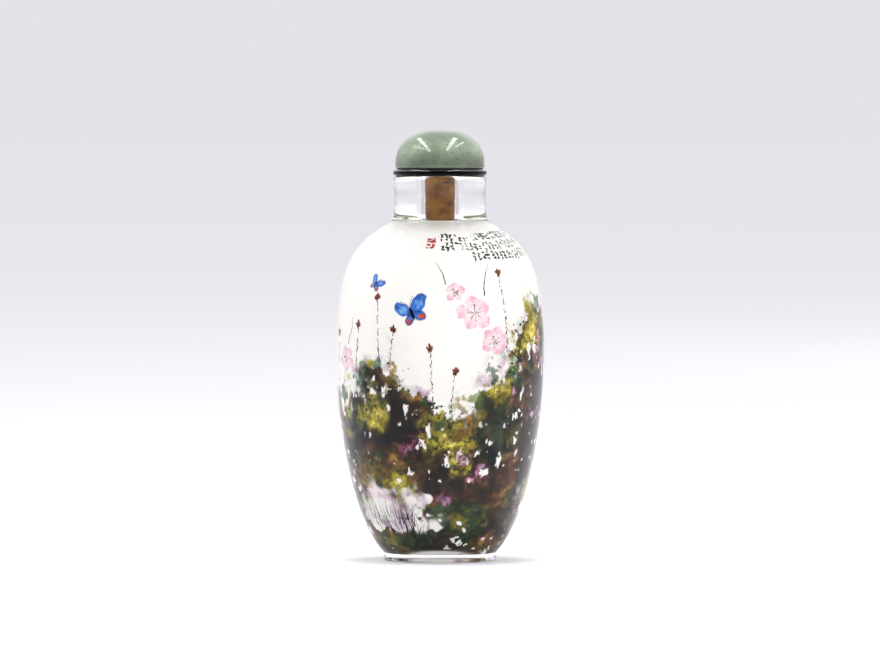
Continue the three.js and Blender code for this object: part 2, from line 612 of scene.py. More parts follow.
@dataclass(frozen=True)
class Outline:
    """The bottle's profile as (radius, height) points, from the same sizes as its solid."""

    belly_radius: float = 22.95
    belly_z: float = 45.4
    foot_radius: float = 12.4
    foot_height: float = 1.75
    foot_edge: float = 0.4
    recess_radius: float = 8.6
    recess_slope: float = 0.9
    recess_depth: float = 0.7
    shoulder_radius: float = 12.35
    shoulder_z: float = 73.8
    root_radius: float = 10.34
    root_z: float = 75.6
    waist_radius: float = 10.1
    waist_z: float = 80.4
    lip_radius: float = 10.3
    lip_z: float = 84.76
    lip_outer_round: float = 0.8
    lip_inner_round: float = 0.5
    bore_radius: float = 3.55
    bore_end_z: float = 75.2
    wall: float = 2.4
    floor_radius: float = 7.5
    floor_z: float = 4.6
    ceiling_radius: float = 11.0
    ceiling_z: float = 71.2
    flank_pull: Point = (7.3, 6.87)
    belly_pull_down: float = 13.1
    belly_pull_up: float = 15.2
    shoulder_pull: Point = (9.2, -5.15)
    fillet_pull: Point = (-1.31, 0.74)
    root_pull: Point = (0.2, -1.0)
    neck_pull: float = 1.8
    lip_pull: float = 0.5
    cavity_flank_pull: Point = (8.9, 3.2)
    cavity_pull_up: float = 14.2
    ceiling_pull: Point = (8.3, -4.6)
    flare_pull: Point = (-4.15, 2.3)
    bore_pull: float = 2.0

    def outside(self) -> Array:
        """Profile from the middle of the recess under the foot to the top of the lip.

        Returns:
            The points, one row each.
        """
        belly = (self.belly_radius, self.belly_z)
        foot = (self.foot_radius, self.foot_height)
        shoulder = (self.shoulder_radius, self.shoulder_z)
        root = (self.root_radius, self.root_z)
        waist = (self.waist_radius, self.waist_z)
        lip = (self.lip_radius, self.lip_z - self.lip_outer_round)
        over_belly = shift(belly, 0.0, self.belly_pull_up)
        under_belly = shift(belly, 0.0, -self.belly_pull_down)
        over_shoulder = shift(shoulder, *self.fillet_pull)
        under_root = shift(root, *self.root_pull)
        over_root = shift(root, -self.root_pull[0], -self.root_pull[1])
        under_waist = shift(waist, 0.0, -self.neck_pull)
        over_waist = shift(waist, 0.0, self.neck_pull)
        foot_edge = (self.foot_radius - self.foot_edge, self.foot_edge)
        lip_centre = shift(lip, -self.lip_outer_round, 0.0)
        recess = (self.recess_radius - self.recess_slope, self.recess_depth)
        stretches = [
            np.array([(0.0, self.recess_depth), recess, (self.recess_radius, 0.0)]),
            arc(foot_edge, self.foot_edge, -90, 0, 8),
            bezier(foot, shift(foot, *self.flank_pull), under_belly, belly, 62)[:-1],
            bezier(belly, over_belly, shift(shoulder, *self.shoulder_pull), shoulder, 62)[:-1],
            bezier(shoulder, over_shoulder, under_root, root, 18)[:-1],
            bezier(root, over_root, under_waist, waist, 16)[:-1],
            bezier(waist, over_waist, shift(lip, 0.0, -self.lip_pull), lip, 16)[:-1],
            arc(lip_centre, self.lip_outer_round, 0, 90, 12),
        ]
        return np.vstack(stretches)

    def inside(self) -> Array:
        """Profile from the mouth down the bore and the cavity to the middle of the floor.

        Returns:
            The points, one row each.
        """
        cavity_radius = self.belly_radius - self.wall
        bore_end = (self.bore_radius, self.bore_end_z)
        ceiling = (self.ceiling_radius, self.ceiling_z)
        belly = (cavity_radius, self.belly_z)
        floor = (self.floor_radius, self.floor_z)
        mouth = (self.bore_radius + self.lip_inner_round, self.lip_z - self.lip_inner_round)
        under_bore = shift(bore_end, 0.0, -self.bore_pull)
        over_ceiling = shift(ceiling, *self.flare_pull)
        under_ceiling = shift(ceiling, *self.ceiling_pull)
        over_belly = shift(belly, 0.0, self.cavity_pull_up)
        under_belly = shift(belly, 0.0, -self.belly_pull_down)
        stretches = [
            arc(mouth, self.lip_inner_round, 90, 180, 8),
            bezier(bore_end, under_bore, over_ceiling, ceiling, 24)[:-1],
            bezier(ceiling, under_ceiling, over_belly, belly, 52)[:-1],
            bezier(belly, under_belly, shift(floor, *self.cavity_flank_pull), floor, 52),
            np.array([(0.0, self.floor_z)]),
        ]
        return np.vstack(stretches)


@dataclass
class GlassBottle:
    """The hollow glass: foot ring, ovoid body, waisted neck and narrow bore, in one closed surface."""

    outline: Outline
    columns: int = 256
    glass: ClearGlass = ClearGlass()

    def build(self) -> bpy.types.Object:
        """Turn the whole profile round the axis and dress it in glass.

        Returns:
            The bottle.
        """
        profile = np.vstack([self.outline.outside(), self.outline.inside()])
        surface = lathe(profile, full_turn(self.columns), closed=True)
        bottle = surface.piece("glass_bottle", self.glass.material(), "clear_glass")
        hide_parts("bottle")
        return bottle


class Pigment(Enum):
    """The painter's colours, as sRGB parts from 0 to 255."""

    GROUND = (255, 253, 248)
    GREY = (234, 231, 221)
    INK = (17, 14, 13)
    UMBER = (44, 33, 27)
    BARK = (82, 62, 40)
    MOSS = (44, 60, 38)
    SAGE = (142, 140, 104)
    OLIVE = (108, 100, 38)
    GOLD = (178, 162, 54)
    STRAW = (222, 208, 116)
    OCHRE = (190, 128, 56)
    RUST = (112, 58, 36)
    PLUM = (126, 50, 74)
    MAUVE = (176, 136, 164)
    LILAC = (216, 200, 214)
    MIST = (206, 216, 196)
    BLUSH = (250, 234, 236)
    PETAL = (236, 160, 190)
    ROSE = (204, 88, 132)
    FERN = (54, 92, 60)
    LEAF = (122, 138, 62)
    SKY = (120, 178, 232)
    BLUE = (42, 98, 196)
    NAVY = (18, 28, 78)
    CORAL = (208, 76, 38)
    VERMILION = (166, 36, 42)

    @property
    def parts(self) -> Array:
        """The colour as sRGB parts from 0 to 1."""
        return np.array(self.value) / 255.0


def blend(under: Array, over: Array, share: Array) -> Array:
    """Colours between two, point by point.

    Args:
        under: One colour, or one for each point.
        over: One colour, or one for each point.
        share: Share of the second at each point.

    Returns:
        One colour for each point.
    """
    share = share[:, None]
    return under * (1.0 - share) + over * share


class Wall:
    """The inner wall as a sheet: azimuth round the axis, and the arc up it from the floor's middle."""

    def __init__(self, outline: Outline, end_radius: float) -> None:
        """Measure the wall's profile up to where the paint ends.

        Args:
            outline: The bottle's profile.
            end_radius: Radius on the ceiling where the painted wall ends.
        """
        fine = outline.inside()[::-1]
        past_belly = fine[:, 1] > outline.belly_z
        kept = fine[~(past_belly & (fine[:, 0] < end_radius))]
        self.radius, self.height = kept.T
        step = np.hypot(*np.diff(kept, axis=0).T)
        self.arc = np.concatenate([[0.0], np.cumsum(step)])
        self.end = float(self.arc[-1])
        slope = np.gradient(kept, self.arc, axis=0)
        slope /= np.linalg.norm(slope, axis=1, keepdims=True)
        self._outward = np.column_stack([slope[:, 1], -slope[:, 0]])
        self._floor_end = int(np.argmax(self.height > outline.floor_z + 1e-6)) - 1

    def radius_at(self, along: Array) -> Array:
        """Distance from the axis at a place up the arc."""
        return np.interp(along, self.arc, self.radius)

    def height_at(self, along: Array) -> Array:
        """Height at a place up the arc."""
        return np.interp(along, self.arc, self.height)

    def arc_at(self, height: Array | float) -> Array:
        """Place up the arc of a height above the floor."""
        return np.interp(height, self.height[self._floor_end :], self.arc[self._floor_end :])

    def place(self, azimuth: Array, along: Array, lift: float) -> Array:
        """Points in space: the wall's profile, moved into the glass by lift, turned to the azimuth.

        Args:
            azimuth: Angles from the front, in radians.
            along: Places up the arc.
            lift: Distance into the glass.

        Returns:
            Points, with x, y and z on the last axis.
        """
        radius = self.radius_at(along) + lift * np.interp(along, self.arc, self._outward[:, 0])
        height = self.height_at(along) + lift * np.interp(along, self.arc, self._outward[:, 1])
        return np.stack([radius * np.sin(azimuth), -radius * np.cos(azimuth), height], axis=-1)


@dataclass(frozen=True)
class Layout:
    """Where things are in the painting: a garden bank round the bottle, under a pale sky.

    Azimuths and turns are degrees, and heights are millimetres above the table. A gap is its azimuth,
    height, half width and half height; a blossom or a butterfly its azimuth, height, size and turn; a stem
    its azimuth, lowest and highest point and lean; a branch its azimuth and height at either end, bow and
    width.
    """

    crest_azimuth: Row = (-180, -150, -120, -92, -70, -48, -30, -12, 2, 16, 32, 48, 64, 84, 110, 145)
    crest_height: Row = (30, 34, 29, 33, 36, 41, 42, 36, 30, 32, 40, 49, 56, 54, 42, 33)
    gaps: tuple[Row, ...] = (
        (-46, 13, 8.0, 5.0),
        (-24, 9.0, 5.0, 2.0),
        (122, 15, 9.0, 4.0),
        (-150, 14, 8.0, 5.0),
    )
    blossoms: tuple[Row, ...] = (
        (21, 55.0, 4.3, 12),
        (34, 49.0, 3.6, 50),
        (9, 59.5, 2.4, 70),
        (-68, 45.0, 3.2, 25),
    )
    butterflies: tuple[Row, ...] = ((-17, 55.0, 0.95, 24), (-44, 61.0, 0.5, -28))
    stems: tuple[Row, ...] = (
        (-58, 36, 52, 3),
        (-38, 42, 58, -3),
        (-31, 42, 51, 2.5),
        (-4, 33, 47, -2),
        (6, 30, 42, 3),
        (43, 46, 63, -3),
        (-82, 32, 50, 2),
        (150, 30, 48, 2),
        (-160, 30, 45, -3),
        (118, 38, 52, 2),
    )
    branches: tuple[Row, ...] = (
        (55, 44, 42, 47.6, -1, 0.55),
        (3.5, 61, -3, 65.5, 1, 0.26),
        (28, 58.6, 35, 65, -2, 0.3),
        (-80, 36, -71, 42.5, 2, 0.42),
        (-66, 48, -62, 54, 1, 0.25),
    )
    canopy_z: float = 52.0
    ticks_z: float = 70.8
    ticks_azimuth: Point = (4.0, 84.0)
    tick_columns: int = 11
    mark_azimuth: float = -7.5

    def crest(self, azimuth_deg: Array | float) -> Array:
        """Height of the bank at an azimuth, before the brush makes it ragged."""
        return np.interp(azimuth_deg, self.crest_azimuth, self.crest_height, period=360.0)


class Film:
    """Colours laid over the wall's points, one wash over another, in sRGB parts."""

    def __init__(self, wall: Wall, layout: Layout, azimuth: Array, along: Array, seed: int = 7) -> None:
        """Prepare the bare ground.

        Args:
            wall: The inner wall.
            layout: Where things are.
            azimuth: Angle of each point, in radians.
            along: Place up the arc of each point.
            seed: Start of the random numbers.
        """
        self.layout = layout
        self.wall = wall
        self.azimuth = azimuth
        self.along = along
        self.radius = wall.radius_at(along)
        self.height = wall.height_at(along)
        self.points = wall.place(azimuth, along, 0.0)
        self.noise = Noise(seed)
        self.bent = self.points + 1.3 * np.column_stack([self.cloud(k, 3.0, 2) for k in (90, 91, 92)])
        self.colour = np.tile(Pigment.GROUND.parts, (len(along), 1))
        self.wash = np.zeros(len(along))

    def cloud(self, number: int, cell: float, octaves: int = 3, upright: float = 1.0) -> Array:
        """One of the film's own clouds of noise.

        Args:
            number: Which cloud.
            cell: Size of its largest cell.
            octaves: Number of layers.
            upright: How far its cells are drawn out upwards.

        Returns:
            Numbers of about -1 to 1.
        """
        return self.noise.cloud(self.points / (1.0, 1.0, upright) + 41.7 * number, cell, octaves)

    def bent_cloud(self, number: int, cell: float, octaves: int = 3) -> Array:
        """A cloud whose outlines are pulled about as wet paint is."""
        return self.noise.cloud(self.bent + 41.7 * number, cell, octaves)

    def lay(self, colour: Array, strength: Array, grain: float = 1.0) -> None:
        """Lay a wash over what is there.

        Args:
            colour: One colour, or one for each point.
            strength: Cover of each point, from 0 to 1.
            grain: How far the ground's grain shows in it.
        """
        self.colour = blend(self.colour, colour, strength)
        self.wash = self.wash * (1.0 - strength) + grain * strength

    def local(self, azimuth_deg: float, height: float, turn_deg: float = 0.0) -> tuple[Array, Array]:
        """Distances across and up the wall from a spot, turned about it.

        Args:
            azimuth_deg: The spot's azimuth.
            height: The spot's height.
            turn_deg: Turn of the axes, against the clock.

        Returns:
            Across and up, in millimetres.
        """
        offset = self.azimuth - math.radians(azimuth_deg)
        offset = (offset + math.pi) % (2 * math.pi) - math.pi
        across = offset * self.radius
        up = self.along - self.wall.arc_at(height)
        turn = math.radians(turn_deg)
        return across * math.cos(turn) + up * math.sin(turn), up * math.cos(turn) - across * math.sin(turn)

    def depth(self) -> Array:
        """Depth below the ragged crest of the bank, less the gaps that are left bare in it.

        Returns:
            Millimetres, positive inside the bank.
        """
        ragged = 6.0 * self.bent_cloud(0, 7.0) + 2.0 * self.cloud(1, 1.4, 4)
        depth = self.layout.crest(np.degrees(self.azimuth)) + ragged - self.height
        for azimuth_deg, height, half_width, half_height in self.layout.gaps:
            across, up = self.local(azimuth_deg, height)
            away = np.hypot(across / half_width, up / half_height) - 1.0
            away = away + 0.55 * self.cloud(2, 3.4)
            depth = np.minimum(depth, away * min(half_width, half_height))
        return depth

    def glow(self, count: int, seed: int, low: float, high: float, sizes: Point) -> Array:
        """Round patches scattered in the bank: the strongest bell curve of the distance to their middles.

        Args:
            count: Number of patches.
            seed: Start of the random numbers.
            low: Lowest place of a middle, as a share of the crest's height.
            high: Highest place.
            sizes: Smallest and largest radius.

        Returns:
            Numbers from 0 to 1.
        """
        rng = np.random.default_rng(seed)
        total = np.zeros(len(self.along))
        for _ in range(count):
            azimuth = rng.uniform(-180.0, 180.0)
            height = self.layout.crest(azimuth) * rng.uniform(low, high)
            middle = self.wall.place(math.radians(azimuth), self.wall.arc_at(height), 0.0)
            size = rng.uniform(*sizes)
            away = np.sum((self.bent - middle) ** 2, axis=1) / size**2
            total = np.maximum(total, rng.uniform(0.7, 1.0) * np.exp(-1.6 * away))
        return total

    def lay_haze(self, depth: Array) -> None:
        """Pale damp tints round the bank: patches of four colours, fading away from it.

        Args:
            depth: Depth below the crest.
        """
        tints = [Pigment.LILAC, Pigment.MIST, Pigment.BLUSH, Pigment.MAUVE]
        fields = np.stack([self.bent_cloud(3 + k, 4.5) for k in range(4)])
        weight = np.exp(9.0 * fields)
        weight /= weight.sum(axis=0)
        colour = np.einsum("kn,kc->nc", weight, np.stack([tint.parts for tint in tints]))
        near = ease(-8.0, 0.5, depth)
        patch = ease(-0.3, 0.3, self.bent_cloud(7, 4.0))
        self.lay(colour, 0.9 * near * patch, grain=0.3)

    def foliage(self, depth: Array) -> Array:
        """Colours of the dark bank: ink and umber, leaf tones, warm veins, glowing patches, plum touches.

        Args:
            depth: Depth below the crest.

        Returns:
            One colour for each point.
        """
        deep = ease(2.0, 12.0, depth)
        colour = blend(Pigment.UMBER.parts, Pigment.BARK.parts, ease(-0.1, 0.7, self.bent_cloud(10, 5.0)))
        leaf = blend(Pigment.MOSS.parts, Pigment.OLIVE.parts, ease(-0.3, 0.5, self.bent_cloud(12, 4.0)))
        colour = blend(colour, leaf, 0.95 * ease(-0.3, 0.4, self.bent_cloud(13, 8.0) + 0.2 - 0.3 * deep))
        fern = self.glow(34, 31, 0.78, 1.04, (1.8, 3.6)) * (1.0 + 0.9 * self.cloud(14, 1.2))
        tone = blend(Pigment.FERN.parts, Pigment.LEAF.parts, ease(0.5, 1.0, fern))
        colour = blend(colour, tone, 0.9 * ease(0.1, 0.7, fern))
        warm = blend(Pigment.RUST.parts, Pigment.OCHRE.parts, ease(0.0, 0.7, self.cloud(17, 1.6)))
        colour = blend(colour, warm, 0.6 * ease(0.15, 0.65, self.bent_cloud(15, 5.0)))
        colour = blend(colour, Pigment.INK.parts, 0.97 * deep * ease(-0.6, 0.05, self.bent_cloud(11, 8.0)))
        gold = self.glow(24, 32, 0.35, 0.95, (3.5, 7.5)) * (1.0 + 0.55 * self.cloud(18, 1.3, 4))
        tone = blend(Pigment.OLIVE.parts, Pigment.GOLD.parts, ease(0.25, 0.8, gold))
        tone = blend(tone, Pigment.STRAW.parts, ease(0.75, 1.3, gold))
        colour = blend(colour, tone, 0.95 * ease(0.08, 0.6, gold))
        plum = self.glow(44, 33, 0.25, 1.0, (1.2, 2.8)) * (1.0 + 1.3 * self.cloud(19, 1.0))
        tone = blend(Pigment.PLUM.parts, Pigment.MAUVE.parts, ease(0.5, 1.2, plum))
        colour = blend(colour, tone, 0.85 * ease(0.15, 0.75, plum))
        grain = 0.28 * self.cloud(20, 0.7) + 0.3 * self.cloud(21, 3.0)
        spatter = ease(0.34, 0.5, self.cloud(22, 0.4, 2)) * ease(0.05, 0.4, self.cloud(23, 4.0))
        colour = colour * (1.0 + grain)[:, None] * (1.0 - 0.5 * spatter)[:, None]
        return np.clip(colour, 0.05, 1.0)

    def lay_foliage(self, depth: Array) -> None:
        """Lay the bank, soft where the ground was wet, and torn where the bare ground shows through.

        Args:
            depth: Depth below the crest.
        """
        torn = self.cloud(24, 1.2, 4, upright=1.7) + 0.65 * self.cloud(25, 5.0)
        bare = ease(0.84, 0.89, torn)
        pooled = ease(0.65, 0.84, torn) * (1.0 - bare)
        soft = 0.2 + 2.6 * ease(-0.1, 0.5, self.cloud(26, 6.0, 1))
        colour = self.foliage(depth) * (1.0 - 0.4 * pooled)[:, None]
        above_floor = ease(4.6, 6.4, self.radius)
        self.lay(colour, ease(-soft, soft, depth) * (1.0 - bare) * above_floor)

    def lay_lobes(self, count: int = 64, seed: int = 3) -> None:
        """Single wet leaves that stand out of the crest: blots that fade towards the rim.

        Args:
            count: Number of leaves.
            seed: Start of the random numbers.
        """
        rng = np.random.default_rng(seed)
        names = ("GOLD", "OLIVE", "LEAF", "FERN", "OCHRE", "MAUVE", "MIST")
        choices = [Pigment[name] for name in names]
        ragged = 0.9 * self.cloud(27, 1.5)
        for _ in range(count):
            azimuth = rng.uniform(-180.0, 180.0)
            height = self.layout.crest(azimuth) + rng.uniform(-2.0, 3.0)
            across, up = self.local(azimuth, height, rng.uniform(-40.0, 40.0))
            long, wide = rng.uniform(1.6, 3.4), rng.uniform(1.0, 2.2)
            inside = 1.0 - np.hypot(across / wide, up / long) + ragged
            tip = choices[rng.integers(len(choices))].parts
            colour = blend(tip * 0.6, tip, ease(-long, 0.6 * long, up))
            self.lay(colour, rng.uniform(0.45, 0.85) * ease(0.0, rng.uniform(0.5, 1.0), inside))

    def lay_blossoms(self) -> None:
        """Blossoms of five petals: each a rounded blade, pale at the heart, rose towards its rim."""
        ragged = self.cloud(28, 1.2)
        streak = ease(-0.3, 0.4, self.cloud(29, 0.8))
        for azimuth, height, radius, turn in self.layout.blossoms:
            for petal in range(5):
                across, up = self.local(azimuth, height, turn + 72.0 * petal)
                up = up * (1.0 if petal % 2 else 1.12)
                share = np.clip(up / radius, 0.0, 1.0)
                half = 0.4 * radius * np.sin(math.pi * share**1.4) ** 0.85 * (1.0 + 0.25 * ragged)
                inside = half - np.abs(across)
                flush = ease(0.2, 1.0, share) * (0.2 + 0.8 * streak)
                colour = blend(Pigment.BLUSH.parts, Pigment.PETAL.parts, flush)
                rim = 0.55 * ease(0.45, 0.0, inside) * ease(0.1, 0.5, share) * (0.4 + 0.6 * streak)
                colour = blend(colour, Pigment.ROSE.parts, rim)
                self.lay(colour, 0.9 * ease(0.0, 0.3, inside) * (up > 0.0), grain=0.15)

    def lay_butterflies(self) -> None:
        """Small blue butterflies: four rounded wings, dark at the rim and the veins, with warm spots."""
        ragged = 0.12 * self.cloud(30, 0.9)
        upper, lower = (2.2, 1.5, 2.5, 1.5, 40), (1.4, -1.25, 1.6, 1.15, -35)
        for azimuth, height, size, turn in self.layout.butterflies:
            for side, (out, rise, long, wide, lean_deg) in product((1.0, -0.78), (upper, lower)):
                across, up = self.local(azimuth, height, turn)
                across = across / size / side - out
                up = up / size - rise
                lean = math.radians(lean_deg)
                along = across * math.cos(lean) + up * math.sin(lean)
                cross = up * math.cos(lean) - across * math.sin(lean)
                reach = np.hypot(along / long, cross / wide) + ragged
                fan = np.abs(np.sin(5.0 * np.arctan2(cross, along + 1.1 * long)))
                colour = blend(Pigment.SKY.parts, Pigment.BLUE.parts, ease(0.1, 0.6, reach + 2.0 * ragged))
                colour = blend(colour, Pigment.NAVY.parts, 0.9 * ease(0.7, 1.0, reach + 1.5 * ragged))
                colour = blend(colour, Pigment.NAVY.parts, 0.4 * ease(0.3, 0.0, fan))
                if rise < 0:
                    spot = ease(0.62, 0.3, np.hypot(along / long - 0.3, cross / wide))
                    colour = blend(colour, Pigment.CORAL.parts, spot)
                self.lay(colour, 0.96 * ease(1.04, 0.86, reach), grain=0.5)

    def lay_ceiling(self) -> None:
        """The ground thins to grey frosted glass where the wall closes to the bore."""
        closing = ease(11.0, 6.5, self.radius) * (self.height > 60.0)
        self.lay(Pigment.GREY.parts, closing, grain=0.1)

    def lay_canopy(self) -> None:
        """Willow leaves that hang down the back: upright streaks, ragged and thin at their ends."""
        behind = ease(0.0, -0.4, np.cos(self.azimuth))
        leaf = self.cloud(32, 1.1, 3, upright=2.8)
        edge = self.layout.canopy_z + 16.0 * self.cloud(31, 4.0, 3, upright=6.0) - 5.0 * leaf
        depth = self.cloud(33, 2.2, 3, upright=4.0)
        colour = blend(Pigment.SAGE.parts, Pigment.MIST.parts, 0.6 * ease(0.05, 0.4, -leaf))
        colour = blend(colour, Pigment.LEAF.parts, 0.5 * ease(0.0, 0.4, -depth))
        colour = blend(colour, Pigment.MOSS.parts, 0.75 * ease(0.05, 0.45, leaf + 0.6 * depth))
        self.lay(colour, 0.92 * behind * ease(-1.0, 6.0, self.height - edge))

    def paint(self) -> None:
        """Lay the whole picture, from the palest wash to the figures."""
        depth = self.depth()
        self.lay_ceiling()
        self.lay_canopy()
        self.lay_haze(depth)
        self.lay_foliage(depth)
        self.lay_lobes()
        self.lay_blossoms()
        self.lay_butterflies()


class Brush:
    """Strokes of a fine brush on the wall: tapering strips and ragged dabs, gathered into one surface."""

    def __init__(self, wall: Wall, lift: float, seed: int) -> None:
        """Take up the brush.

        Args:
            wall: The inner wall.
            lift: Distance of the strokes into the glass.
            seed: Start of the random numbers.
        """
        self.wall = wall
        self.lift = lift
        self.rng = np.random.default_rng(seed)
        self._points: list[Array] = []
        self._quads: list[Array] = []
        self._triangles: list[Array] = []
        self._colours: list[Array] = []

    def _keep(self, azimuth: Array, along: Array, colours: Array) -> int:
        """Keep a block of points and say at which number it starts."""
        start = sum(len(block) for block in self._points)
        self._points.append(self.wall.place(azimuth, along, self.lift).reshape(-1, 3))
        self._colours.append(colours.reshape(-1, 3))
        return start

    def strips(self, azimuth: Array, along: Array, width: Array, pigment: Pigment) -> None:
        """Strokes of varying width: each path's points, moved half the width to either side of it.

        Args:
            azimuth: Angles along each path, one row a stroke, in radians.
            along: Places up the arc, alike.
            width: Widths, alike.
            pigment: Colour of the strokes.
        """
        radius = self.wall.radius_at(along)
        ahead = np.gradient(azimuth, axis=1) * radius
        rise = np.gradient(along, axis=1)
        length = np.maximum(np.hypot(ahead, rise), 1e-9)
        aside = 0.5 * width * -rise / length / radius
        above = 0.5 * width * ahead / length
        both_azimuth = np.stack([azimuth - aside, azimuth + aside], axis=-1)
        both_along = np.stack([along - above, along + above], axis=-1)
        tone = self.rng.uniform(0.75, 1.35, size=(len(azimuth), 1, 1, 1))
        colours = np.clip(np.broadcast_to(pigment.parts * tone, (*both_along.shape, 3)), 0, 1)
        start = self._keep(both_azimuth, both_along, colours)
        number = start + np.arange(both_along.size).reshape(both_along.shape)
        corners = [number[:, :-1, 0], number[:, :-1, 1], number[:, 1:, 1], number[:, 1:, 0]]
        self._quads.append(np.stack(corners, axis=-1).reshape(-1, 4)[:, ::-1])

    def dabs(
        self,
        azimuth: Array,
        along: Array,
        long: Array,
        wide: Array,
        turn: Array,
        pigment: Pigment,
        ragged: float = 0.25,
        corners: int = 12,
    ) -> None:
        """Touches of the brush: ellipses whose rim wanders in and out, each a fan about its middle.

        Args:
            azimuth: Angles of the middles, in radians.
            along: Places up the arc of the middles.
            long: Half lengths, along the turned axis.
            wide: Half widths.
            turn: Turns of the long axis from upright, in radians.
            pigment: Colour of the dabs.
            ragged: Share of the size by which the rim wanders.
            corners: Points on the rim.
        """
        count = len(azimuth)
        angle = np.linspace(0.0, 2 * math.pi, corners, endpoint=False)
        rim = 1.0 + ragged * self.rng.normal(size=(count, corners))
        across = wide[:, None] * rim * np.sin(angle)
        upward = long[:, None] * rim * np.cos(angle)
        sine, cosine = np.sin(turn)[:, None], np.cos(turn)[:, None]
        radius = self.wall.radius_at(along)[:, None]
        rim_azimuth = azimuth[:, None] + (across * cosine + upward * sine) / radius
        rim_along = along[:, None] + upward * cosine - across * sine
        all_azimuth = np.hstack([azimuth[:, None], rim_azimuth])
        all_along = np.hstack([along[:, None], rim_along])
        tone = self.rng.uniform(0.85, 1.2, size=(count, 1, 1))
        colours = np.clip(np.broadcast_to(pigment.parts * tone, (*all_along.shape, 3)), 0, 1)
        start = self._keep(all_azimuth, all_along, colours)
        middle = start + np.arange(count)[:, None] * (corners + 1)
        first = middle + 1 + np.arange(corners)
        second = middle + 1 + (np.arange(corners) + 1) % corners
        fans = np.stack([np.broadcast_to(middle, first.shape), second, first], axis=-1)
        self._triangles.append(fans.reshape(-1, 3))

    def surface(self) -> tuple[Surface, Array]:
        """Gather all strokes.

        Returns:
            The surface, and the sRGB colour of each of its points.
        """
        surface = Surface(np.vstack(self._points), np.vstack(self._quads), np.vstack(self._triangles))
        return surface, np.vstack(self._colours)


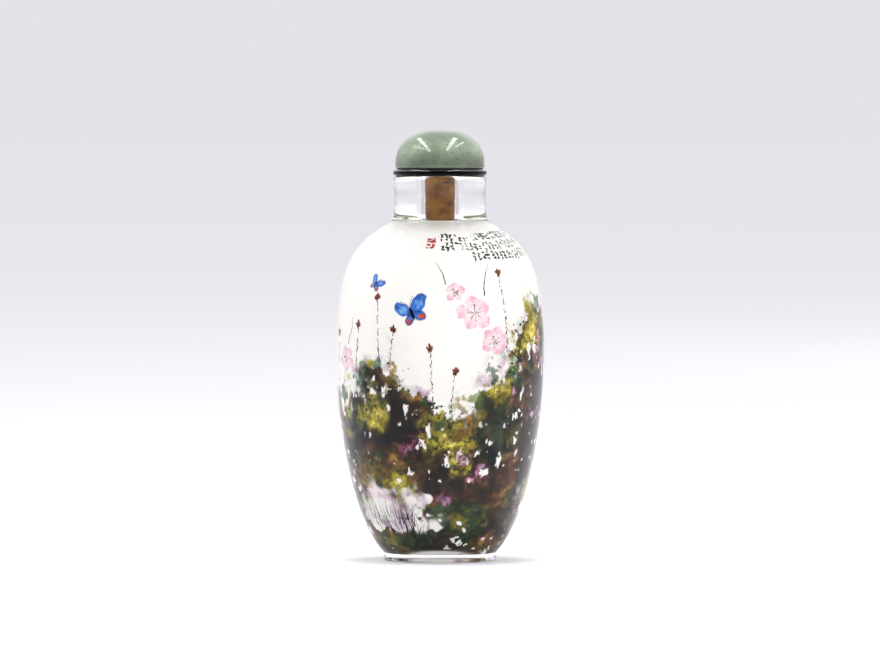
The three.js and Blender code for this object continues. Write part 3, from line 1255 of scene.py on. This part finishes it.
@dataclass
class InnerPainting:
    """The picture on the inner wall: panels of painted film, and the fine strokes over them."""

    outline: Outline
    layout: Layout = Layout()
    end_radius: float = 4.2
    film_lift: float = 0.03
    stroke_lift: float = 0.06
    floor_rows: int = 8
    panels: tuple[tuple[str, float, float, int, int], ...] = (
        ("painting_left", -90.0, 0.0, 226, 410),
        ("painting_right", 0.0, 90.0, 226, 410),
        ("painting_back", 90.0, 270.0, 230, 240),
    )
    finish: PaintedFilm = PaintedFilm()

    def __post_init__(self) -> None:
        """Measure the wall and mix the paint."""
        self.wall = Wall(self.outline, self.end_radius)
        self.material = self.finish.material()

    def dress(self, piece: bpy.types.Object, colour: Array, wash: Array) -> None:
        """Store the paint on a piece's points.

        Args:
            piece: The film or the strokes.
            colour: sRGB parts of each point.
            wash: How far the grain shows at each point.
        """
        attributes = piece.data.attributes
        paint = np.column_stack([linear(colour), np.ones(len(colour))])
        attributes.new("paint", "FLOAT_COLOR", "POINT").data.foreach_set("color", paint.ravel())
        attributes.new("wash", "FLOAT", "POINT").data.foreach_set("value", wash)

    def build_film(
        self, name: str, first_deg: float, last_deg: float, columns: int, rows: int
    ) -> bpy.types.Object:
        """One panel of film: the wall's profile carried through part of a turn, with its picture.

        Args:
            name: The piece's name.
            first_deg: Azimuth of its left edge.
            last_deg: Azimuth of its right edge.
            columns: Points across it.
            rows: Points up the wall.

        Returns:
            The piece.
        """
        corner = self.outline.floor_radius
        floor = np.linspace(0.0, corner, self.floor_rows, endpoint=False)
        along = np.concatenate([floor, np.linspace(corner, self.wall.end, rows)])
        azimuth = np.radians(np.linspace(first_deg, last_deg, columns))
        lifted = self.wall.place(np.zeros_like(along), along, self.film_lift)
        profile = np.column_stack([-lifted[:, 1], lifted[:, 2]])
        profile[0, 0] = 0.0
        surface = lathe(profile, azimuth, closed=False)
        all_azimuth = np.concatenate([azimuth[:1], np.tile(azimuth, len(along) - 1)])
        all_along = np.concatenate([along[:1], np.repeat(along[1:], columns)])
        film = Film(self.wall, self.layout, all_azimuth, all_along)
        film.paint()
        piece = surface.piece(name, self.material, "inner_painting")
        self.dress(piece, film.colour, film.wash)
        across = (all_azimuth - azimuth[0]) / np.ptp(azimuth)
        self.unwrap(piece, np.column_stack([across, all_along / self.wall.end]))
        return piece

    def unwrap(self, piece: bpy.types.Object, place: Array) -> None:
        """Give a panel its own flat map: across it and up it.

        Args:
            piece: The panel.
            place: Place of each point on the map, from 0 to 1.
        """
        corner = np.empty(len(piece.data.loops), np.int32)
        piece.data.loops.foreach_get("vertex_index", corner)
        piece.data.uv_layers.new(name="OFBake").data.foreach_set("uv", place[corner].ravel())

    def draw_stems(self, brush: Brush) -> None:
        """Dotted ink stems that rise out of the bank and end in a bud."""
        for azimuth, low, high, lean in self.layout.stems:
            count = int((high - low) / 0.4)
            share = np.linspace(0.0, 1.0, count)
            sway = lean * share**1.6 + 0.3 * brush.rng.normal(size=count)
            spot = np.radians(azimuth + sway)
            along = self.wall.arc_at(low + (high - low) * share)
            kept = brush.rng.uniform(size=count) > 0.18
            long = brush.rng.uniform(0.14, 0.4, count)
            wide = brush.rng.uniform(0.06, 0.17, count)
            turn = brush.rng.normal(scale=0.3, size=count)
            brush.dabs(spot[kept], along[kept], long[kept], wide[kept], turn[kept], Pigment.INK, 0.25, 8)
            tip = np.ones(3)
            brush.dabs(
                spot[-1] + np.radians([0.0, 0.9, -0.9]),
                along[-1] + np.array([0.6, 0.2, 0.3]),
                tip * 0.7,
                tip * 0.38,
                np.array([0.0, 0.5, -0.5]),
                Pigment.RUST,
                0.3,
            )

    def draw_grass(self, brush: Brush, count: int = 60) -> None:
        """Blades of grass in the bare gaps: thin strips that bend over as they rise."""
        share = np.linspace(0.0, 1.0, 9)
        for azimuth, height, half_width, half_height in self.layout.gaps:
            blades = int(count * half_width / 10)
            foot = azimuth + np.degrees(brush.rng.uniform(-1, 1, blades) * half_width / 18.0)
            low = height - half_height + brush.rng.uniform(-1.5, 3.5, blades)
            tall = brush.rng.uniform(1.5, 7.0, blades)
            lean = brush.rng.normal(scale=4.0, size=blades)
            path = np.radians(foot[:, None] + lean[:, None] * share**1.7)
            along = self.wall.arc_at(low)[:, None] + tall[:, None] * share
            width = brush.rng.uniform(0.08, 0.26, blades)[:, None] * (1.0 - 0.85 * share)
            brush.strips(path, along, width, Pigment.INK)

    def draw_branch(self, brush: Brush) -> None:
        """Thin branches that lean out of the bank and carry the blossoms."""
        share = np.linspace(0.0, 1.0, 40)
        for first, low, last, high, bow, wide in self.layout.branches:
            path = first + (last - first) * share + bow * np.sin(math.pi * share)
            path = path + 0.35 * np.cumsum(brush.rng.normal(scale=0.35, size=share.size))
            along = self.wall.arc_at(low + (high - low) * share**0.85)
            width = wide * (1.0 - 0.7 * share) * brush.rng.uniform(0.5, 1.3, share.size)
            brush.strips(np.radians(path)[None], along[None], width[None], Pigment.UMBER)

    def draw_blossom_hearts(self, brush: Brush) -> None:
        """Stamens: a burst of hair lines and dots in the middle of each blossom."""
        for azimuth, height, radius, _ in self.layout.blossoms:
            count = 14
            angle = brush.rng.uniform(0, 2 * math.pi, count)
            share = np.linspace(0.1, 1.0, 5)
            reach = radius * brush.rng.uniform(0.2, 0.42, count)
            middle = self.wall.arc_at(height)
            around = self.wall.radius_at(middle)
            path = math.radians(azimuth) + (reach * np.cos(angle))[:, None] * share / around
            along = middle + (reach * np.sin(angle))[:, None] * share
            brush.strips(path, along, np.full(path.shape, 0.07), Pigment.PLUM)
            dot = np.full(count, 0.12)
            brush.dabs(path[:, -1], along[:, -1], dot, dot, angle, Pigment.RUST, 0.15, 8)

    def draw_butterfly_bodies(self, brush: Brush) -> None:
        """A dark spindle for each body, and two feelers that curl outwards."""
        share = np.linspace(0.0, 1.0, 12)
        for azimuth, height, size, turn in self.layout.butterflies:
            middle = self.wall.arc_at(height)
            around = self.wall.radius_at(middle)
            angle = math.radians(turn)
            curves = (
                (0.0 * share, -1.9 + 3.6 * share, 0.62 * np.sin(math.pi * share) ** 0.7),
                (0.15 + 1.5 * share**1.6, 1.6 + 1.9 * share, 0.1 + 0.0 * share),
                (-0.15 - 1.5 * share**1.6, 1.6 + 1.9 * share, 0.1 + 0.0 * share),
            )
            for across, up, width in curves:
                path = (across * math.cos(angle) - up * math.sin(angle)) * size / around
                along = middle + (across * math.sin(angle) + up * math.cos(angle)) * size
                path = math.radians(azimuth) + path
                brush.strips(path[None], along[None], width[None] * size, Pigment.INK)

    def draw_inscription(self, brush: Brush) -> None:
        """Short ink ticks in columns on the right shoulder, where the writing would be.

        Each group is six ticks on a grid of two by three, pushed about but kept apart, so that
        none makes a letter.
        """
        share = np.linspace(0.0, 1.0, 4)
        start = self.wall.arc_at(self.layout.ticks_z)
        across = np.tile([-0.5, 0.5], 3)
        up = np.repeat([0.72, 0.0, -0.72], 2)
        columns = np.linspace(*self.layout.ticks_azimuth, self.layout.tick_columns)
        for column, azimuth in enumerate(columns):
            for group in range(2 if column < 3 else 3):
                lean = brush.rng.choice([0.2, 1.3, -0.7], 6) + brush.rng.normal(scale=0.25, size=6)
                long = brush.rng.uniform(0.55, 1.0, 6)
                right = across + brush.rng.uniform(-0.15, 0.15, 6)
                rise = up + brush.rng.uniform(-0.12, 0.12, 6)
                middle = start - 1.0 - 2.5 * group - brush.rng.uniform(0.0, 0.4)
                around = self.wall.radius_at(middle)
                step = long[:, None] * (share - 0.5)
                path = math.radians(azimuth) + (right[:, None] + step * np.sin(lean)[:, None]) / around
                along = middle + rise[:, None] - step * np.cos(lean)[:, None]
                width = brush.rng.uniform(0.36, 0.62, 6)[:, None] * (1.15 - 0.7 * share)
                kept = brush.rng.uniform(size=6) > 0.12
                brush.strips(path[kept], along[kept], width[kept], Pigment.INK)
        self.draw_mark(brush, math.radians(self.layout.mark_azimuth), start - 2.8)

    def draw_mark(self, brush: Brush, azimuth: float, along: float, count: int = 62) -> None:
        """A plain red mark beside the ticks: small dabs scattered over an oblong.

        Args:
            brush: The brush.
            azimuth: Angle of its middle, in radians.
            along: Place of its middle up the arc.
            count: Number of dabs.
        """
        around = self.wall.radius_at(along)
        right, up, turn = brush.rng.uniform(-1.0, 1.0, (3, count))
        long = brush.rng.uniform(0.16, 0.36, count)
        wide = brush.rng.uniform(0.08, 0.16, count)
        spot = azimuth + 0.85 * right / around
        brush.dabs(spot, along + 1.5 * up, long, wide, 2.0 * turn, Pigment.VERMILION, 0.2, 8)

    def draw_specks(self, brush: Brush, count: int = 1500) -> None:
        """Ink specks that the brush threw: tiny dabs, densest along the crest."""
        azimuth = brush.rng.uniform(-180.0, 180.0, count)
        height = self.layout.crest(azimuth) + brush.rng.normal(loc=-3.0, scale=3.6, size=count)
        size = np.exp(brush.rng.normal(loc=-2.2, scale=0.4, size=count))
        stretch = brush.rng.uniform(0.6, 1.1, count)
        turn = brush.rng.uniform(0, math.pi, count)
        along = self.wall.arc_at(np.clip(height, 6.0, 66.0))
        brush.dabs(np.radians(azimuth), along, size, size * stretch, turn, Pigment.INK, 0.25, 8)

    def build(self) -> list[bpy.types.Object]:
        """Paint the panels of film and draw the strokes.

        Returns:
            The pieces.
        """
        pieces = [self.build_film(*panel) for panel in self.panels]
        brush = Brush(self.wall, self.stroke_lift, seed=11)
        self.draw_branch(brush)
        self.draw_stems(brush)
        self.draw_grass(brush)
        self.draw_blossom_hearts(brush)
        self.draw_butterfly_bodies(brush)
        self.draw_inscription(brush)
        self.draw_specks(brush)
        surface, colour = brush.surface()
        strokes = surface.piece("ink_strokes", self.material, "inner_painting")
        self.dress(strokes, colour, np.full(len(colour), 0.4))
        return [*pieces, strokes]


@dataclass
class Stopper:
    """The stack that closes the bottle: cork plug, black collar and green stone dome."""

    outline: Outline
    glue: float = 0.02
    cork_length: float = 10.1
    cork_top_radius: float = 3.4
    cork_end_radius: float = 3.22
    cork_end_round: float = 0.25
    pit_depth: float = 0.09
    collar_radius: float = 10.35
    collar_thickness: float = 1.45
    collar_round: float = 0.62
    dome_radius: float = 9.88
    dome_height: float = 8.75
    dome_base_radius: float = 9.3
    dome_base_round: float = 0.65
    dome_power: float = 2.4
    dome_base_pull: float = 0.35
    columns: int = 160

    def build_cork(self) -> bpy.types.Object:
        """A tapering plug whose side is pitted: the radius less a pit where a cloud of noise is high.

        Returns:
            The cork.
        """
        top, low = self.outline.lip_z, self.outline.lip_z - self.cork_length
        share = np.linspace(0.0, 1.0, 90)
        side = np.column_stack(
            [
                self.cork_end_radius + (self.cork_top_radius - self.cork_end_radius) * share,
                low + self.cork_end_round + (self.cork_length - self.cork_end_round) * share,
            ]
        )
        flat_radius = self.cork_end_radius - self.cork_end_round
        rim = arc((flat_radius, low + self.cork_end_round), self.cork_end_round, -90, 0, 6)
        flat = np.column_stack([np.linspace(0.0, flat_radius, 12), np.full(12, low)])
        profile = np.vstack([flat[:-1], rim[:-1], side, [(0.0, top)]])
        surface = lathe(profile, full_turn(self.columns), closed=True)
        stretched = surface.points * np.array([1.0, 1.0, 1.8])
        pits = ease(0.12, 0.42, Noise(21).cloud(stretched, 1.6))
        away = np.hypot(surface.points[:, 0], surface.points[:, 1])
        keep = np.where(away > 1.0, 1.0 - self.pit_depth * pits / np.maximum(away, 1.0), 1.0)
        surface.points[:, :2] *= keep[:, None]
        cork = surface.piece("cork_plug", CorkBark().material(), "cork_bark")
        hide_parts("stopper_cork")
        return cork

    def build_collar(self) -> bpy.types.Object:
        """A disc with a rounded rim.

        Returns:
            The collar.
        """
        low = self.outline.lip_z + self.glue
        high = low + self.collar_thickness
        rim = self.collar_radius - self.collar_round
        profile = np.vstack(
            [
                [(0.0, low)],
                arc((rim, low + self.collar_round), self.collar_round, -90, 0, 14),
                arc((rim, high - self.collar_round), self.collar_round, 0, 90, 14),
                [(0.0, high)],
            ]
        )
        surface = lathe(profile, full_turn(self.columns), closed=True)
        collar = surface.piece("black_collar", BlackCollar().material(), "black_collar")
        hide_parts("stopper_collar")
        return collar

    def build_dome(self) -> bpy.types.Object:
        """A cabochon: radius and height are cosine and sine to the power that makes a superellipse.

        Returns:
            The dome.
        """
        low = self.outline.lip_z + 2 * self.glue + self.collar_thickness
        spring = low + self.dome_base_round
        angle = np.linspace(0.0, math.pi / 2, 72)
        across = self.dome_radius * np.cos(angle).clip(0.0) ** (2 / self.dome_power)
        up = spring + (self.dome_height - self.dome_base_round) * np.sin(angle) ** (2 / self.dome_power)
        across[-1] = 0.0
        base = bezier(
            (self.dome_base_radius, low),
            (self.dome_base_radius + self.dome_base_pull, low),
            (self.dome_radius, spring - self.dome_base_pull),
            (self.dome_radius, spring),
            8,
        )
        profile = np.vstack([[(0.0, low)], base[:-1], np.column_stack([across, up])])
        surface = lathe(profile, full_turn(self.columns), closed=True)
        dome = surface.piece("green_dome", GreenStone().material(), "green_stone")
        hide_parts("stopper_dome")
        return dome

    def build(self) -> list[bpy.types.Object]:
        """Build the stack from the cork up."""
        return [self.build_cork(), self.build_collar(), self.build_dome()]


@dataclass(frozen=True)
class Strip:
    """A long narrow lamp overhead, from one end to the other in plan. Metres."""

    name: str
    back: Point
    front: Point
    width: float


@dataclass
class Studio:
    """A pale floor, strip lamps overhead, a room that is brighter above, and the camera. Metres."""

    floor_radius: float = 40.0
    floor_gap: float = 0.00002
    horizon: Colour = (0.775, 0.768, 0.806)
    zenith: Colour = (1.42, 1.41, 1.42)
    dark_side: Colour = (0.08, 0.08, 0.08)
    strip_height: float = 0.65
    strip_radiance: float = 11.0
    strips: tuple[Strip, ...] = (
        Strip("strip_left", (-0.29, 0.4), (-0.36, -0.66), 0.07),
        Strip("strip_left_thin", (-0.62, 0.15), (-0.36, -0.6), 0.035),
        Strip("strip_right", (0.21, 0.28), (0.235, -0.61), 0.07),
        Strip("strip_right_thin", (0.42, 0.23), (0.37, -0.21), 0.035),
    )
    fills: tuple[Row, ...] = (
        (0.0, 0.0, 3.0, 36.0),
        (0.0, 0.0, 0.8, 13.0),
        (0.6, 1.2, 0.4, 4.0),
        (0.0, 0.0, 0.3, 4.5),
    )
    glows: tuple[Row, ...] = (
        (-60.0, -15.0, 0.65),
        (60.0, -15.0, 1.05),
        (180.0, -15.0, 1.0),
        (0.0, 75.0, 0.62),
    )
    card_radius: float = 1.2
    card_height: float = 1.0
    card_azimuths: Point = (63.0, 100.0)
    camera_distance: float = 1.5
    camera_height: float = 0.095
    aim_height: float = 0.05077
    lens_mm: float = 278.3
    sensor_mm: float = 36.0
    glow_spread_deg: float = 20.0

    def stand(self, name: str, surface: Surface, material: bpy.types.Material) -> bpy.types.Object:
        """Put a surface into the scene.

        Args:
            name: Its name.
            surface: Its points and faces.
            material: Its finish.

        Returns:
            The new object.
        """
        stage = surface.thing(name, material)
        return stage

    def hang(
        self, light: bpy.types.Light, unseen: Sequence[str], lit: bpy.types.Collection | None = None
    ) -> bpy.types.Object:
        """Put a lamp into the scene.

        Args:
            light: The light.
            unseen: Kinds of rays that don't meet the lamp.
            lit: The objects that it lights, if not all.

        Returns:
            The lamp.
        """
        lamp = bpy.data.objects.new(light.name, light)
        for kind in ("camera", *unseen):
            setattr(lamp, f"visible_{kind}", False)
        if lit:
            lamp.light_linking.receiver_collection = lit
        bpy.context.scene.collection.objects.link(lamp)
        return lamp

    def build_floor(self) -> bpy.types.Object:
        """A wide flat disc just under the foot.

        Returns:
            The floor.
        """
        radius = np.concatenate([[0.0], np.geomspace(0.05, self.floor_radius, 14)]) / MM
        profile = np.column_stack([radius[::-1], np.full(radius.size, -self.floor_gap / MM)])
        return self.stand("floor", lathe(profile, full_turn(96), closed=True), PaleFloor().material())

    def build_cards(self) -> None:
        """Two curved grey cards beyond the sides, seen through the glass alone, whose edges they darken."""
        material = GreyCard().material()
        profile = np.array([(self.card_radius, 0.0), (self.card_radius, self.card_height)]) / MM
        for name, side in (("card_left", -1.0), ("card_right", 1.0)):
            azimuth = math.pi + np.radians(side * np.linspace(*self.card_azimuths, 24))
            card = self.stand(name, lathe(profile, azimuth, closed=False), material)
            for kind in ("camera", "diffuse", "glossy", "shadow"):
                setattr(card, f"visible_{kind}", False)

    def build_strips(self) -> None:
        """Hang the strips: each faces down, and its power is radiance times area times pi."""
        for strip in self.strips:
            ahead = np.subtract(strip.front, strip.back)
            length = float(np.hypot(*ahead))
            light = bpy.data.lights.new(strip.name, "AREA")
            light.shape = "RECTANGLE"
            light.size = strip.width
            light.size_y = length
            light.energy = self.strip_radiance * math.pi * strip.width * length
            lamp = self.hang(light, ("diffuse", "transmission"))
            lamp.location = (*np.mean([strip.back, strip.front], axis=0), self.strip_height)
            lamp.rotation_euler = (0.0, 0.0, math.atan2(ahead[1], ahead[0]) - math.pi / 2)

    def build_fills(self, floor: bpy.types.Object) -> None:
        """Soft lamps that brighten the floor alone: places and watts.

        Args:
            floor: The floor.
        """
        lit = bpy.data.collections.new("lit_by_fills")
        lit.objects.link(floor)
        for number, (*place, watts) in enumerate(self.fills):
            light = bpy.data.lights.new(f"floor_fill_{number}", "POINT")
            light.shadow_soft_size = 0.2 * place[2]
            light.use_shadow = False
            light.energy = watts
            self.hang(light, ("glossy", "transmission"), lit).location = place

    def build_glows(self, painting: Sequence[bpy.types.Object]) -> None:
        """Even light on the painting alone, as a white tent throws it back: azimuth, rise and strength.

        Args:
            painting: The pieces of the painting.
        """
        lit = bpy.data.collections.new("lit_by_glows")
        for piece in painting:
            lit.objects.link(piece)
        for number, (azimuth_deg, rise_deg, strength) in enumerate(self.glows):
            light = bpy.data.lights.new(f"painting_glow_{number}", "SUN")
            light.angle = math.radians(self.glow_spread_deg)
            light.energy = strength
            light.use_shadow = False
            lamp = self.hang(light, ("glossy", "transmission"), lit)
            lamp.rotation_euler = (math.radians(90.0 - rise_deg), 0.0, math.radians(azimuth_deg))

    def build_room(self) -> None:
        """The room's own light: brighter towards the zenith, and dark behind the camera in mirrors."""
        world = bpy.data.worlds.new("room")
        shader = Shader(world)
        direction = shader.node("ShaderNodeTexCoord").outputs["Generated"]
        parts = shader.node("ShaderNodeSeparateXYZ", {}, {0: direction})
        up = Value(shader, parts.outputs["Z"])
        ahead = -1.0 * Value(shader, parts.outputs["Y"])
        colour = shader.mix(up.eased(0.03, 0.4), self.horizon, self.zenith)
        mirrored = Value(shader, shader.node("ShaderNodeLightPath").outputs["Is Glossy Ray"])
        colour = shader.mix(mirrored * ahead.eased(0.2, 0.7), colour, self.dark_side)
        sky = shader.node("ShaderNodeBackground", {}, {"Color": colour})
        shader.node("ShaderNodeOutputWorld", {}, {"Surface": sky.outputs[0]})
        bpy.context.scene.world = world

    def build_camera(self) -> None:
        """A long lens in front of the bottle, a little above its middle and tipped down."""
        lens = bpy.data.cameras.new("camera")
        lens.lens = self.lens_mm
        lens.sensor_width = self.sensor_mm
        lens.clip_end = 2 * self.floor_radius
        camera = bpy.data.objects.new("camera", lens)
        drop = math.atan2(self.camera_height - self.aim_height, self.camera_distance)
        camera.location = (0.0, -self.camera_distance, self.camera_height)
        camera.rotation_euler = (math.pi / 2 - drop, 0.0, 0.0)
        bpy.context.scene.collection.objects.link(camera)
        bpy.context.scene.camera = camera

    def build(self, painting: Sequence[bpy.types.Object]) -> None:
        """Set up the floor, the light, the camera and plain colour handling.

        Args:
            painting: The pieces that the glows light.
        """
        floor = self.build_floor()
        self.build_cards()
        self.build_strips()
        self.build_fills(floor)
        self.build_glows(painting)
        self.build_room()
        self.build_camera()
        bpy.context.scene.view_settings.view_transform = "Standard"


def main() -> None:
    """Build the bottle, its painting, its stopper and the studio."""
    logging.basicConfig(level=logging.INFO, format="%(name)s: %(message)s")
    outline = Outline()
    GlassBottle(outline).build()
    painting = InnerPainting(outline).build()
    Stopper(outline).build()
    Studio().build(painting)


if __name__ == "__main__":
    main()
